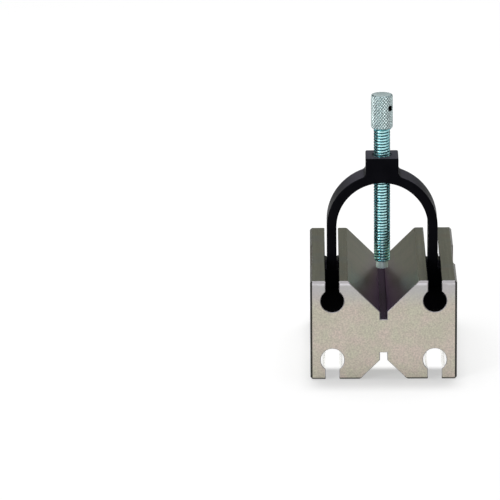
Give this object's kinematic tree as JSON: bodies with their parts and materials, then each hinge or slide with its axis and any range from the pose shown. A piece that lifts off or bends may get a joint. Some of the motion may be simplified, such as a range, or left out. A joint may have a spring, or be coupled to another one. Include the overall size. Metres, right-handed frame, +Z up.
{
  "type": "v block",
  "caption": "Ground steel vee block with a large vee above and a small one below, keyways beside them, and a black stirrup clamp whose screw holds round work down.",
  "frame": {"origin": "centre of the block's base, midway between its ends and sides", "axes": "+Z up out of the large vee, +Y along the vees, +X across the block"},
  "size_m": [0.07, 0.092, 0.129],
  "materials": {
    "ground_steel": "satin, finely ground",
    "black_finish": "black, semi-matt",
    "zinc_plate": "bright zinc plate"
  },
  "bodies": {
    "block": {"v_block": "ground_steel"},
    "stirrup": {"clamp_stirrup": "black_finish"},
    "screw": {"clamp_screw": "zinc_plate"}
  },
  "joints": [
    {"name": "stirrup_slide", "type": "slide", "parent": "block", "child": "stirrup", "axis": [0, 1, 0], "range_m": [-0.038, 0.038]},
    {"name": "screw_feed", "type": "slide", "parent": "stirrup", "child": "screw", "axis": [0, 0, 1], "range_m": [-0.007, 0.042]}
  ]
}
